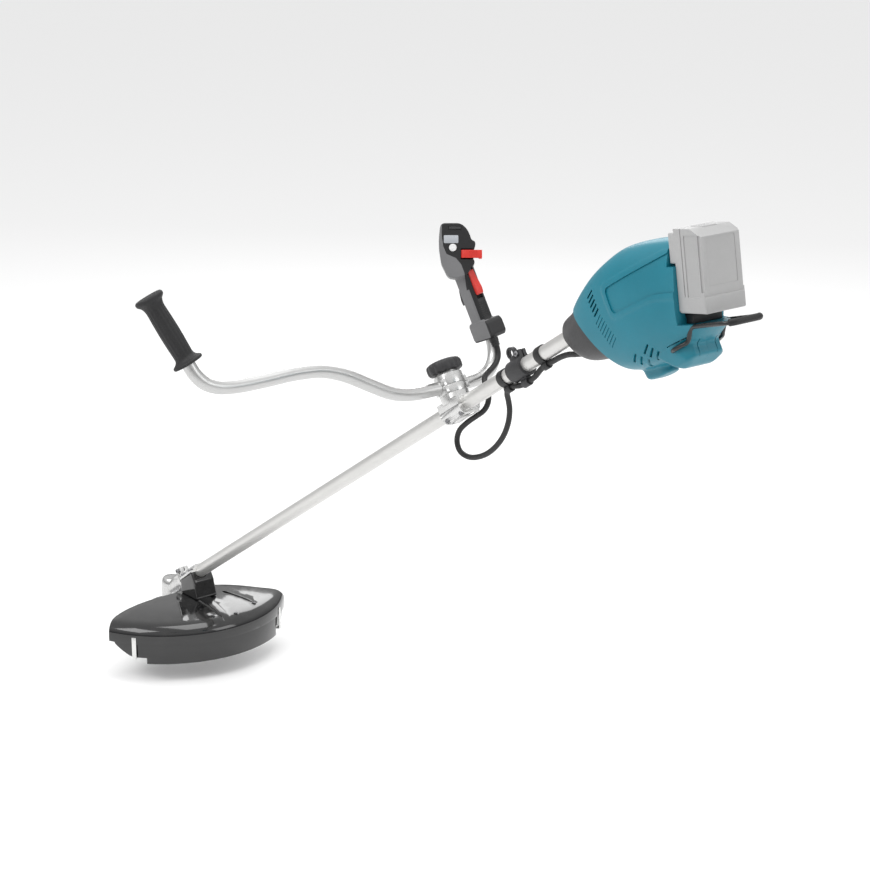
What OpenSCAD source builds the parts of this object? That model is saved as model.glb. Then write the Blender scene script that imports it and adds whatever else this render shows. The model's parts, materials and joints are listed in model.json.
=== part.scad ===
// Battery brush cutter with a bicycle handlebar, modelled in its working pose:
// it hangs from the harness eye, the tube slopes down to the cutting head.
// Row frame: +X to the rear, +Y to the operator's right, +Z up, origin at the harness eye.
// Most parts are drawn in the tube frame: x along the tube to the rear, y right,
// z square to the tube, zero at the middle of the handlebar clamp.

/* [Pose] */
// Slope of the tube down to the head in degrees
slope = 33; // [30:0.5:36]

/* [Main tube] */
// Outer diameter of the main tube
tube_d = 25.4; // [25.2:0.1:25.4]
// Wall thickness of the main tube
tube_wall = 1.8; // [1.5:0.1:2]
// Distance from the handlebar clamp to the cutter spindle
head_x = 1077; // [1060:1:1100]
// Distance from the handlebar clamp to the rear end of the tube
tube_rear = 368; // [360:1:370]
// Diameter of the drive shaft inside the tube
shaft_d = 8; // [7:0.5:8]

/* [Harness eye] */
// Place of the eye along the tube
eye_x = 178; // [176:1:182]
// Height of the eye above the tube axis
eye_z = 29; // [28:0.5:31]
// Hole of the eye
eye_d = 13; // [11:0.5:14]

/* [Handlebar] */
// Diameter of the handlebar tube
bar_d = 22; // [21.6:0.1:22]
// Wall of the handlebar tube
bar_wall = 2; // [1.5:0.5:3]
// Height of the bar above the main tube axis at the clamp
bar_z = 38; // [37:0.5:39]
// Lean of the bar towards the operator in degrees
bar_lean = 10; // [8:1:12]
// Diameter of the clamp knob
knob_d = 61; // [56:1:64]

/* [Guard] */
// Outer radius of the guard
guard_r = 225; // [220:1:230]
// Depth of the guard's lower edge under the spindle point
guard_low = 32; // [30:1:34]
// Depth of the skirt's lower edge under the spindle point
skirt_low = 72; // [66:1:76]

/* [Battery] */
// Width of the battery pack
bat_w = 81; // [76:1:83]
// Height of the battery pack
bat_h = 123; // [118:1:126]
// Lean of the battery pack from square to the tube in degrees
bat_lean = 23.6; // [23:0.2:24]

/* [Hidden] */
$fn = 64;
tr = tube_d / 2;
ti = tr - tube_wall;
sr = shaft_d / 2;
rimh = guard_low;

// ---- frames ----
module S() { rotate([0, -slope, 0]) translate([-eye_x, 0, -eye_z]) children(); }
module G() { S() translate([-head_x, 0, 0]) rotate([0, slope, 0]) children(); }
module H() { S() translate([3.3, 107.5, 115]) rotate([8.5, 10.2, 0]) children(); }
module xcyl(r, x0, x1, r2 = -1) { translate([x0, 0, 0]) rotate([0, 90, 0]) cylinder(h = x1 - x0, r1 = r, r2 = r2 < 0 ? r : r2); }
module ycyl(r, y0, y1) { translate([0, y0, 0]) rotate([-90, 0, 0]) cylinder(h = y1 - y0, r = r); }
module zcyl(r, z0, z1) { translate([0, 0, z0]) cylinder(h = z1 - z0, r = r); }
module box(x0, x1, y0, y1, z0, z1) { translate([x0, y0, z0]) cube([x1 - x0, y1 - y0, z1 - z0]); }

// ---- sweeping and lofting ----
function unit(v) = v / norm(v);
function cr(p, i, t) = let (a = p[max(i - 1, 0)], b = p[i], c = p[i + 1], d = p[min(i + 2, len(p) - 1)])
  0.5 * (2 * b + (c - a) * t + (2 * a - 5 * b + 4 * c - d) * t * t + (3 * b - 3 * c + d - a) * t * t * t);
function smooth(p, m) = concat([for (i = [0 : len(p) - 2], k = [0 : m - 1]) cr(p, i, k / m)], [p[len(p) - 1]]);
function tang(p, i) = unit(p[min(i + 1, len(p) - 1)] - p[max(i - 1, 0)]);
function ringat(p, i, r, n, u) = let (t = tang(p, i), a = unit(cross(t, u)), b = cross(t, a))
  [for (k = [0 : n - 1]) p[i] + r * (cos(360 * k / n) * a + sin(360 * k / n) * b)];
// solid round rod along points p; u is a direction never parallel to the path
module rod(p, r, n, u) {
  m = len(p);
  pts = [for (i = [0 : m - 1]) each ringat(p, i, r, n, u)];
  side = [for (i = [0 : m - 2], k = [0 : n - 1]) each [
    [i * n + k, i * n + (k + 1) % n, (i + 1) * n + k],
    [i * n + (k + 1) % n, (i + 1) * n + (k + 1) % n, (i + 1) * n + k]]];
  polyhedron(pts, concat(side, [[for (k = [n - 1 : -1 : 0]) k]], [[for (k = [0 : n - 1]) (m - 1) * n + k]]), convexity = 6);
}
// round tube with a wall along points p
module pipe(p, r, ri, n, u) {
  m = len(p); q = m * n;
  pts = concat([for (i = [0 : m - 1]) each ringat(p, i, r, n, u)], [for (i = [0 : m - 1]) each ringat(p, i, ri, n, u)]);
  faces = concat(
    [for (i = [0 : m - 2], k = [0 : n - 1]) each [
      [i * n + k, i * n + (k + 1) % n, (i + 1) * n + k],
      [i * n + (k + 1) % n, (i + 1) * n + (k + 1) % n, (i + 1) * n + k],
      [q + i * n + k, q + (i + 1) * n + k, q + i * n + (k + 1) % n],
      [q + i * n + (k + 1) % n, q + (i + 1) * n + k, q + (i + 1) * n + (k + 1) % n]]],
    [for (k = [0 : n - 1]) each [
      [k, q + k, (k + 1) % n], [(k + 1) % n, q + k, q + (k + 1) % n],
      [(m - 1) * n + k, (m - 1) * n + (k + 1) % n, q + (m - 1) * n + k],
      [(m - 1) * n + (k + 1) % n, q + (m - 1) * n + (k + 1) % n, q + (m - 1) * n + k]]]);
  polyhedron(pts, faces, convexity = 8);
}
function sgn(v) = v < 0 ? -1 : 1;
// section: [x, half width, top, bottom, squareness]
function sect(s, g, n) = let (h = (s[2] - s[3]) / 2 - g, c = (s[2] + s[3]) / 2, e = 2 / s[4])
  [for (k = [0 : n - 1]) [s[0], (s[1] - g) * sgn(cos(360 * k / n)) * pow(abs(cos(360 * k / n)), e),
    c + h * sgn(sin(360 * k / n)) * pow(abs(sin(360 * k / n)), e)]];
module loft(st, g, n) {
  m = len(st);
  pts = [for (i = [0 : m - 1]) each sect(st[i], g, n)];
  side = [for (i = [0 : m - 2], k = [0 : n - 1]) each [
    [i * n + k, (i + 1) * n + k, i * n + (k + 1) % n],
    [i * n + (k + 1) % n, (i + 1) * n + k, (i + 1) * n + (k + 1) % n]]];
  polyhedron(pts, concat(side, [[for (k = [0 : n - 1]) k]], [[for (k = [n - 1 : -1 : 0]) (m - 1) * n + k]]), convexity = 6);
}

// ---- routes and sections, tube frame ----
// handlebar: [to the left, up the leaning plane]
bar_bg = [[516, 205], [496, 155], [485, 122], [477, 102], [464, 87], [445, 78], [425, 74], [397, 72], [353, 72], [308, 73],
  [278, 72], [249, 69], [221, 61], [194, 49], [161, 30], [128, 12], [99, 3], [69, 0], [30, 0], [0, 0], [-30, 0],
  [-62, 3], [-87, 13], [-103, 33], [-108, 58], [-107.3, 72], [-107, 84], [-106, 94]];
bar_path = smooth([for (p = bar_bg) [p[1] * sin(bar_lean), -p[0], bar_z + p[1] * cos(bar_lean)]], 3);
cable_up = [[27.4, 98.3, 90.8], [26.7, 98.9, 86.9], [26, 99.5, 83], [24.3, 100.4, 75], [22.4, 98, 65], [21.4, 90, 55.5], [21, 78, 48], [22, 66, 42], [27, 55, 37],
  [32, 46.5, 31], [35, 42.5, 26.5], [36, 41, 23], [36, 41, 20.3]];
cable_low = [[36, 41, 20], [36, 41, 16], [36.6, 39.5, 8], [36.5, 37, -3], [31, 33, -13.5], [20, 29, -20], [2, 25, -22], [-22, 22, -24], [-46, 20, -29], [-61, 19, -42],
  [-62, 18, -60], [-48, 18, -75], [-26, 18, -84], [4, 18, -88], [34, 18, -85], [62, 18, -76], [86, 17, -62], [103, 15, -46],
  [114, 11, -32], [124, 5, -23], [136, 1, -19], [150, 0, -18.3], [170, 0, -24], [190, 0, -25.5], [212, 0, -24], [236, 0, -18.3], [262, 0, -18.3],
  [284, 0, -19], [304, 0, -22], [322, 0, -28], [338, 0, -33], [352, 0, -35]];
cone_st = [[338, 25, 20, -25, 2.1], [345, 30, 25, -33, 2.2], [356, 36, 27, -46, 2.2], [374, 44, 28, -57, 2.3], [400, 51, 34, -64, 2.4], [425, 56, 44, -68, 2.5], [465, 60, 56, -72, 2.6]];
shell_st = [[374.3, 45.5, 29, -58.5, 2.3], [386, 49, 31, -62, 2.4], [402, 55, 37, -70, 2.5], [425, 60, 47, -86, 2.6], [460, 63, 58, -104, 2.8],
  [500, 64, 64, -115, 3], [540, 62, 66, -120, 3], [580, 57, 58, -121, 3], [620, 50, 45, -110, 3], [664, 45, 30, -92, 3]];

// ================= drive line =================
module main_tube() { color("gainsboro") S() difference() { xcyl(tr, -head_x + 34, tube_rear); xcyl(ti, -head_x + 33, tube_rear + 1); } }
module shaft_bushes() { color("dimgray") S() for (x = [-920, -620, -320, 20, 330]) difference() {
  xcyl(ti, x - 12, x + 12); xcyl(sr + 0.08, x - 13, x + 13); } }
module drive_shaft() { color("silver") S() xcyl(sr, -head_x + 33, 404); }
module pinion() { color("gray") S() translate([-head_x, 0, 0]) difference() {
  union() { xcyl(6.4, 6.7, 10, 10); xcyl(10, 10, 12); xcyl(6, 12, 33); }
  for (a = [0 : 360 / 14 : 359]) rotate([a, 0, 0]) translate([8.4, 0, 8.9]) rotate([0, -45.9, 0]) cube([8, 1.1, 2.2], center = true); } }
module bevel_gear() { color("gray") G() difference() {
  union() { zcyl(14, -9, -3.5); translate([0, 0, -3.5]) cylinder(h = 1.2, r1 = 14, r2 = 8.8); zcyl(8, -11, -9); }
  zcyl(5, -12, 0); zcyl(8.8, -4.2, 0);
  for (a = [0 : 360 / 19 : 359]) rotate([0, 0, a]) translate([11.8, 0, -3.1]) rotate([0, 12.9, 0]) cube([7, 1.1, 2], center = true); } }
module cutter_spindle() { color("silver") G() union() { zcyl(5, -36, -4.4); zcyl(5, -60, -36); } }
module gear_case() { color("gainsboro") difference() {
  union() {
    G() zcyl(21, -28, 12);
    G() translate([0, 0, 12]) rotate_extrude() intersection() { scale([1, 1]) circle(r = 21); translate([0, 0]) square([21, 13]); }
    G() translate([0, 0, 2]) rotate([0, -90, 0]) cylinder(h = 22, r = 5.6);
    S() translate([-head_x, 0, 0]) xcyl(16.5, 4, 70);
    S() translate([-head_x, 0, 0]) xcyl(18.5, 60, 70);
    S() translate([-head_x, 0, 0]) box(50, 70, -9, 9, 10, 26);
  }
  G() zcyl(16.5, -11.6, 11);
  G() zcyl(13, -29, -11.6);
  S() translate([-head_x, 0, 0]) { xcyl(11.8, 2, 17); xcyl(10.5, 17, 34); xcyl(tr, 34, 71); box(49, 71, -1, 1, 12, 27); }
  S() translate([-head_x + 60, 0, 20.8]) ycyl(2.6, -10, 10); G() translate([0, 0, 2]) rotate([0, -90, 0]) cylinder(h = 23, r = 3.5);
} }
module pinion_bearings() { color("silver") S() for (x = [17.4, 25.6]) translate([-head_x, 0, 0]) difference() {
  xcyl(10.5, x, x + 7.6); xcyl(6.05, x - 1, x + 9); } }
module spindle_bearings() { color("silver") G() for (z = [-19.4, -27.8]) difference() { zcyl(13, z, z + 7.6); zcyl(5.05, z - 1, z + 9); } }
module hexscrew(r, l, hr, hh) { zcyl(r, -l, 0); difference() { zcyl(hr, 0, hh); translate([0, 0, hh - 2]) cylinder(h = 3, r = hr * 0.5, $fn = 6); } }
module gear_case_screws() { color("dimgray") { S() translate([-head_x + 60, -9, 20.8]) rotate([90, 0, 0]) hexscrew(2.5, 18, 4.2, 4);
  G() translate([-22, 0, 2]) rotate([0, -90, 0]) hexscrew(3.4, 5.4, 4.5, 2.5); } }
module receive_washer() { color("gray") G() difference() {
  union() { zcyl(49, -34, -31.6); zcyl(13, -36, -28.6); difference() { zcyl(49, -40, -34); zcyl(46.8, -41, -33); } }
  zcyl(5, -41, -28); } }

// ================= nylon head =================
module head_housing() { color([0.16, 0.16, 0.17]) G() difference() {
  rotate_extrude() polygon([[5, -36], [16, -36], [18, -42], [48, -46], [56, -53], [57, -70], [54, -70], [53.5, -54], [47, -49.5], [18, -45.5], [9, -45.5], [9, -62], [5, -62]]);
  translate([0, 0, -64]) ycyl(2.8, -60, 60); } }
module head_cover() { color([0.2, 0.2, 0.21]) G() rotate_extrude() polygon([[57, -70.2], [57, -84], [50, -90], [31, -92], [31, -89], [49, -87], [54, -82], [54, -70.2]]); }
module head_spool() { color("orange") G() rotate_extrude() polygon([[9.1, -50.5], [44, -50.5], [44, -52.5], [20, -54.5], [20, -74], [44, -76], [44, -78], [9.1, -78]]); }
module cutting_line() { color("yellowgreen") G() { difference() { zcyl(37, -74, -55); zcyl(20, -75, -54); }
  for (s = [-1, 1]) translate([0, 0, -64]) mirror([0, s < 0 ? 1 : 0, 0]) ycyl(1.2, 36, 96); } }
module tap_knob() { color([0.12, 0.12, 0.13]) G() difference() {
  rotate_extrude() polygon([[0, -83], [34, -83], [34, -86.4], [30.4, -86.4], [30.4, -97], [26, -104], [16, -107.5], [0, -108.5]]);
  for (a = [0 : 60 : 359]) rotate([0, 0, a]) translate([30.5, 0, -100]) zcyl(3, -9, 6); } }

// ================= guard =================
module guard_profile() { polygon([[30, 19], [120, 17], [190, 8], [211, 2], [221, -6], [guard_r, -17], [guard_r, -rimh],
  [guard_r - 3, -rimh], [guard_r - 3, -16.5], [218.8, -7.8], [209.5, -0.8], [189.5, 4.9], [120, 14], [30, 16]]); }
module guard_plan(h0, h1) { translate([0, 0, h0]) linear_extrude(h1 - h0) polygon([[66, -24], [66, -110], [70, -155], [77, -183], [90, -203], [112, -222], [130, -240], [300, -240], [300, 210],
  [150, 190], [148, 172], [130, 128], [84, 66], [66, 24]]); }
module guard_body() { color([0.1, 0.1, 0.11]) G() {
  intersection() { rotate_extrude(angle = 360) guard_profile(); guard_plan(-40, 30); }
  for (a = [-28, -2, 24]) rotate([0, 0, a]) rotate([90, 0, 0]) translate([0, 0, -1.5]) linear_extrude(3) polygon([[128, 14], [190, 6], [218, -4], [218, 1], [190, 11], [128, 21]]); } }
module skirt_sector(a0, a1, r0, r1, z0, z1) { rotate([0, 0, a0]) rotate_extrude(angle = a1 - a0) translate([r0, z0]) square([r1 - r0, z1 - z0]); }
module guard_skirt() { color([0.13, 0.13, 0.14]) G() difference() {
  skirt_sector(-63, 47, guard_r - 6, guard_r - 3, -skirt_low, -19);
  skirt_sector(-66, -46, guard_r - 12, guard_r + 4, -skirt_low - 4, -60); skirt_sector(33, 50, guard_r - 12, guard_r + 4, -skirt_low - 4, -60);
  rotate([0, 0, -52]) rotate([90, 0, 90]) translate([0, 0, 180]) linear_extrude(60) polygon([[-90, -90], [-90, -28], [-48, -31], [-38, -40], [-27, -48], [-12, -57], [0, -60.5], [0, -90]]);
  rotate([0, 0, 36]) rotate([90, 0, 90]) translate([0, 0, 180]) linear_extrude(60) polygon([[90, -90], [90, -28], [48, -31], [38, -40], [27, -48], [12, -57], [0, -60.5], [0, -90]]); } }
module guard_clips() { color("silver") G() for (a = [-52, 36]) { skirt_sector(a - 1.1, a + 1.1, guard_r, guard_r + 1.6, -58, -18);
  skirt_sector(a - 1.1, a + 1.1, guard_r - 8, guard_r + 1.6, -61.6, -60);
  skirt_sector(a - 1.1, a + 1.1, guard_r - 2.9, guard_r + 1.6, -60, -58); } }
module guard_bracket() { color([0.11, 0.11, 0.12]) difference() {
  hull() { S() translate([-head_x, 0, 0]) box(78, 128, -22.5, 22.5, -20, -0.4); G() box(72, 126, -24, 24, 17.6, 20); }
  S() xcyl(tr, -head_x + 60, -head_x + 140);
  G() rotate_extrude() polygon([[0, -30], [190, -30], [190, 8.02], [120, 17.02], [30, 19.02], [0, 19.3]]);
  S() for (x = [88, 118], y = [-18, 18]) translate([-head_x + x, y, 0]) zcyl(2.6, -20, 1);
} }
module guard_clamp_cap() { color("silver") S() translate([-head_x, 0, 0]) difference() {
  union() { intersection() { xcyl(16.5, 78, 128); box(78, 128, -21, 21, 0, 20); } box(78, 128, -22.5, 22.5, 0, 4.5); }
  xcyl(tr, 77, 129);
  for (x = [88, 118], y = [-18, 18]) translate([x, y, 0]) { zcyl(2.6, -1, 6); zcyl(4.35, 4.5, 20); }
} }
module guard_screws() { color("dimgray") S() for (x = [88, 118], y = [-18, 18]) translate([-head_x + x, y, 4.5]) hexscrew(2.5, 20, 4.2, 4.5); }
module line_blade() { color("silver") G() rotate([0, 0, 20]) difference() { box(guard_r - 22, guard_r - 6.4, -13, 13, -skirt_low + 2, -skirt_low + 4);
  translate([guard_r - 24, -13, -skirt_low]) rotate([0, 0, 45]) cube([14, 14, 8], center = true); } }

// ================= handlebar clamp =================
screw_xy = [[-21, -16.6], [-21, 16.6], [21, -16.6], [21, 16.6]];
module clamp_base() { color("gainsboro") S() difference() {
  union() { box(-29, 29, -21.5, 21.5, 0.3, 15); zcyl(25, 9, 23.8); }
  xcyl(tr, -30, 30); zcyl(5.2, 12, 24);
  for (p = screw_xy) translate([p[0], p[1], 0]) zcyl(2.6, -1, 12);
} }
module clamp_cap() { color("gainsboro") S() difference() {
  intersection() { box(-29, 29, -21.5, 21.5, -20, -0.3); xcyl(23, -30, 30); }
  xcyl(tr, -30, 30);
  for (p = screw_xy) translate([p[0], p[1], 0]) { zcyl(2.6, -21, 0); zcyl(4.6, -21, -13); }
} }
module clamp_screws() { color("dimgray") S() for (p = screw_xy) translate([p[0], p[1], -13]) mirror([0, 0, 1]) hexscrew(2.5, 24, 4.2, 4.5); }
module bar_clamp_lower() { color("gainsboro") S() difference() {
  union() { zcyl(25, 24.1, bar_z - 0.3); intersection() { zcyl(29, 27, bar_z - 0.3); box(-16, 16, -30, 30, 26, bar_z); } }
  translate([0, 0, bar_z]) ycyl(bar_d / 2 + 0.1, -31, 31); translate([19, 0, 0]) zcyl(4.1, 20, 50); } }
module bar_clamp_upper() { color("gainsboro") S() difference() {
  union() { zcyl(25, bar_z + 0.3, 57); zcyl(19, 56.9, 61.7); intersection() { zcyl(29, bar_z + 0.3, 49); box(-16, 16, -30, 30, 26, 60); } }
  translate([0, 0, bar_z]) ycyl(bar_d / 2 + 0.1, -31, 31); translate([19, 0, 0]) zcyl(4.1, 20, 60); zcyl(4.6, 50, 63); } }
module clamp_knob() { color([0.22, 0.22, 0.23]) S() difference() {
  union() { zcyl(knob_d / 2 - 1, 62, 80); zcyl(knob_d / 2, 64, 78); zcyl(knob_d / 2 - 5, 79.9, 82); zcyl(4.2, 52, 62.1); }
  for (a = [0 : 30 : 359]) rotate([0, 0, a + 15]) translate([knob_d / 2 + 3.2, 0, 0]) zcyl(5, 61, 83);
} }

// ================= bar, grips =================
module handlebar() { color("gainsboro") S() pipe(bar_path, bar_d / 2, bar_d / 2 - bar_wall, 20, [1, 0, 0]); }
// frame along the left grip, z up the grip from its foot
module L() { S() translate([122 * sin(bar_lean), -484, bar_z + 122 * cos(bar_lean)]) rotate([0, bar_lean, 0]) rotate([20.4, 0, 0]) children(); }
module left_grip() { color([0.25, 0.25, 0.26]) L() difference() {
  rotate_extrude() polygon([[11.6, 0], [24, 0], [25, 2.5], [24, 5], [19, 8], [15.6, 14], [16.8, 60], [15.9, 98], [18.5, 108], [23, 113], [24, 117], [22.5, 121], [0, 121], [0, 116], [11.6, 116]]);
  } }
// frame of the control head: x along its face to the operator's right, y into the face, z up the face
module F() { S() translate([44, 91, 260]) rotate([0, slope, 0]) rotate([0, 0, 51.25]) rotate([-17.15, 0, 0]) children(); }
// outline of the control head seen square to its face
module head_outline() { polygon([[-37.2, 29], [-35.5, 34.5], [-31, 36.9], [-5, 36.9], [2, 33.5], [8.5, 26.8], [13, 18], [15.7, 9], [21.5, 6.5], [22.8, 2.5], [21.6, -4], [19, -7.5],
  [19, -23], [22, -29], [13.6, -42.3], [8, -50], [-9.8, -56.4], [-21, -54.5], [-25.3, -50], [-34.9, -30.2], [-38.5, -6], [-38.9, 10]]); }
module head_solid(g) { F() rotate([90, 0, 0]) translate([0, 0, -25 + g]) linear_extrude(44 - 2 * g) offset(delta = -g) head_outline(); }
module handle_solid(g) { H() intersection() { box(-15.5 + g, 19 - g, -15 + g, 15 - g, 14, 122); translate([1.5, 0, 0]) zcyl(19.5 - g, 0, 130); } }
module foot_solid(g) { H() intersection() { rotate([90, 0, 0]) linear_extrude(60, center = true) offset(delta = -g) polygon([[-13, -12], [31, -12], [37, -5], [37, 14], [32, 21], [-12, 23], [-17, 17], [-17, -7]]);
  box(-40, 60, -20 + g, 17 - g, -20, 40); } }
module grip_body() { union() { head_solid(0); handle_solid(0); foot_solid(0); } }
module grip_cuts() {
  head_solid(3); handle_solid(3); foot_solid(3);
  H() { translate([10.1, -0.6, 0]) zcyl(12.2, -20, 14);
    box(-40, -8, -6.5, 6.5, 44, 112); // trigger slot
    box(11, 50, -6.5, 6.5, 58, 112);  // palm lever slot
    translate([28, -12, 0]) zcyl(6.2, -20, -6); }
  F() box(-2.2, 40, -30, -4, -24, -5.8); // thumb lever notch
}
module btn_cuts() { F() { translate([-15.4, 0, -4.4]) ycyl(6.7, -30, -10); box(-22.6, -1.4, -30, -10, 25.6, 31.2); box(-31, -5.6, -30, -17.8, 2.6, 16.8); } }
module grip_shell_inner() { color([0.45, 0.45, 0.46]) difference() { intersection() { difference() { grip_body(); grip_cuts(); } H() box(-90, 90, -90, -0.05, -40, 260); } btn_cuts(); } }
module grip_shell_outer() { color([0.14, 0.14, 0.15]) difference() { intersection() { difference() { grip_body(); grip_cuts(); } H() box(-90, 90, 0.05, 90, -40, 260); } btn_cuts(); } }
module throttle_trigger() { color([0.15, 0.15, 0.16]) H() difference() {
  union() { rotate([90, 0, 0]) translate([0, 0, -6]) linear_extrude(12) polygon([[-12, 106], [-14, 96], [-22, 80], [-26, 64], [-25, 54], [-21, 57], [-17, 72], [-9.5, 88], [-6, 104]]); translate([-9, 0, 104]) ycyl(4, -6, 6); }
  translate([-9, 0, 104]) ycyl(1.6, -7, 7); } }
module lock_off_lever() { color("red") H() difference() {
  union() { rotate([90, 0, 0]) translate([0, 0, -6]) linear_extrude(12) polygon([[12, 108], [20, 108], [21, 98], [26, 76], [25, 66], [20, 64], [16, 80], [13, 98]]); translate([15, 0, 105]) ycyl(4, -6, 6); }
  translate([15, 0, 105]) ycyl(1.6, -7, 7); } }
// thumb lever: a rocker on a pin square to the head's face edge
module thumb_lever() { color("red") F() difference() { union() { box(4, 33.5, -22, -10, -21.5, -8.3); translate([4, -16, 0]) zcyl(5.8, -21.5, -8.3); box(27.5, 33.5, -22, -8, -26.5, -21.4); }
  translate([4, -16, 0]) zcyl(1.6, -23, -7); } }
module power_button() { color("white") F() translate([-15.4, 0, -4.4]) ycyl(6.4, -20.4, -16.2); }
module mode_button() { color("gray") F() box(-22.2, -1.8, -20.2, -16.2, 26, 30.8); }
module display_window() { color([0.75, 0.76, 0.78]) F() box(-30.8, -5.8, -19.3, -17.8, 2.8, 16.6); }
module grip_gland() { color([0.1, 0.1, 0.1]) H() translate([28, -12, 0]) difference() { union() { zcyl(7.5, -26, -12.2); zcyl(6, -13, -8); } zcyl(4.8, -27, -18); zcyl(3, -27, -7); } }
module grip_switch() { color("dimgray") F() box(-24, -6, -10, 8, -34, 0); }

// ================= cable =================
module cable_upper() { color([0.08, 0.08, 0.08]) S() rod(smooth(cable_up, 2), 4.8, 10, [1, 0.9, 0.15]); }
module cable_lower() { color([0.08, 0.08, 0.08]) S() rod(smooth(cable_low, 2), 4.8, 10, [0.12, 1, 0.05]); }
module cable_holders() { color([0.09, 0.09, 0.1]) S() for (x = [141, 248]) difference() {
  union() { xcyl(tr + 2.2, x - 7, x + 7); translate([0, 0, -18.3]) xcyl(7.2, x - 7, x + 7); }
  xcyl(tr, x - 8, x + 8); translate([0, 0, -18.3]) xcyl(4.9, x - 8, x + 8); } }
module hanger_band() { color([0.13, 0.13, 0.14]) S() difference() {
  union() { xcyl(18.2, eye_x - 12, eye_x + 26); translate([eye_x, 0, eye_z]) ycyl(eye_d / 2 + 3.6, -4, 4); box(eye_x - 7, eye_x + 7, -4, 4, 12, eye_z - 6);
    box(eye_x + 14, eye_x + 26, -7.5, 7.5, 12, 27); translate([0, 0, -25]) xcyl(7.4, eye_x + 2, eye_x + 18); box(eye_x + 2, eye_x + 18, -5, 5, -22, -12); }
  xcyl(tr, eye_x - 30, eye_x + 40); translate([eye_x, 0, eye_z]) ycyl(eye_d / 2, -6, 6);
  box(eye_x + 13, eye_x + 27, -1.2, 1.2, 12, 28); translate([eye_x + 20, 0, 21.8]) ycyl(2.6, -9, 9); translate([0, 0, -25.2]) xcyl(5.2, eye_x, eye_x + 20); } }
module hanger_screw() { color("dimgray") S() translate([eye_x + 20, -7.5, 21.8]) rotate([90, 0, 0]) hexscrew(2.5, 15, 4.2, 4); }

// ================= motor unit =================
// everything behind the slanted joint between the nose cone and the shell
module behind(d) { translate([408 + d, 0, 17]) rotate([0, -24.7, 0]) box(0, 500, -150, 150, -320, 320); }
module front_cone() { color([0.24, 0.24, 0.25]) S() difference() {
  loft(cone_st, 0, 32);
  behind(-0.1);
  xcyl(tr, 330, 360); intersection() { loft([for (s = cone_st) [s[0] + 6, s[1], s[2], s[3], s[4]]], 4, 32); box(346, 500, -80, 80, -100, 80); }
  translate([0, 0, -34.6]) xcyl(5.6, 330, 356); } }
module rear_block(g) { hull() { box(540, 574, -44 + g, 44 - g, -112 + g, -90); box(560, 590 - g, -38 + g, 38 - g, -134 + g, -92); box(576, 601 - g, -27 + g, 27 - g, -132 + g, -97); box(566, 578 - g, -27 + g, 27 - g, -141 + g, -120); } }
module shell_outer() { loft(shell_st, 0, 40); rear_block(0);
  hull() { translate([478, 0, 0]) zcyl(16, -124, -100); translate([506, 0, 0]) zcyl(16, -130, -110); } }
module shell_inner() { loft(shell_st, 3.2, 40); rear_block(3.2); }
// walls of the battery bay, drawn in the pack's own leaning frame
module bay_walls() { rotate([0, bat_lean, 0]) { box(586.5, 590.4, -60, 60, 166, 254); box(573, 577, -60, 60, 247, 420); box(568, 590, -33.5, 33.5, 172, 290);
  box(573, 592, -60, 60, 247, 251); box(586, 612, -40, 40, 161, 166); } }
module bay_space() { rotate([0, bat_lean, 0]) { box(590.4, 720, -90, 90, 166, 420); box(577, 720, -90, 90, 251, 420); box(572, 600, -29.5, 29.5, 176, 420); } }
module vents() { for (k = [0 : 4]) translate([467 + k * 1.2, 0, 24 - k * 7.7]) rotate([0, -27, 0]) cube([17, 200, 3.4], center = true);
  for (k = [0 : 2]) { translate([534.5 + k * 4.2, 0, -92 - k * 7.6]) rotate([0, -27, 0]) cube([20, 200, 3.2], center = true); translate([503 + k * 6.2, 0, -94.5 - k * 7.2]) rotate([0, -27, 0]) cube([18, 200, 3.2], center = true); } }
module shell_all() { difference() {
  intersection() { union() { difference() { shell_outer(); intersection() { shell_inner(); behind(3.4); } } intersection() { shell_outer(); bay_walls(); } } behind(0); }
  xcyl(15, 380, 430);
  bay_space();
  vents(); } }
module housing_left() { color([0.1, 0.52, 0.62]) S() intersection() { shell_all(); box(300, 760, -120, -0.1, -200, 200); } }
module housing_right() { color([0.1, 0.52, 0.62]) S() intersection() { shell_all(); box(300, 760, 0.1, 120, -200, 200); } }
module stator() { color("darkorange") S() difference() { xcyl(36, 470, 530); xcyl(21, 469, 531); } }
module rotor() { color("silver") S() { xcyl(20, 474, 526); xcyl(sr, 412, 552); } }
module fan() { color([0.15, 0.15, 0.15]) S() { difference() { xcyl(33, 455, 457.5); xcyl(sr, 450, 460); } difference() { xcyl(7, 457.4, 466); xcyl(sr, 450, 470); }
  for (a = [0 : 40 : 359]) rotate([a, 0, 0]) box(457.4, 465, 8, 31, -0.9, 0.9);
  difference() { xcyl(9, 396, 422); xcyl(sr, 390, 430); } } }
module motor_brackets() { color("lightgray") S() { for (x = [440, 540]) { difference() { xcyl(40, x, x + 6); xcyl(11, x - 1, x + 7); } difference() { xcyl(11, x, x + 6); xcyl(sr + 0.06, x - 1, x + 7); } }
  for (a = [45 : 90 : 359]) rotate([a, 0, 0]) translate([0, 38, 0]) xcyl(1.9, 446, 540); } }
module controller_board() { color("darkgreen") S() { box(464, 536, -33, 33, -91, -89); box(470, 516, -28, 28, -89.1, -78); for (y = [-26, -9, 9, 26]) translate([526, y, 0]) zcyl(5, -89.1, -70); } }
module battery_seat() { color([0.09, 0.09, 0.1]) S() rotate([0, bat_lean, 0]) { box(590.8, 607, -29, 29, 166.2, 180); box(572.4, 590.8, -29, 29, 176.4, 180); } }
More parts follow.
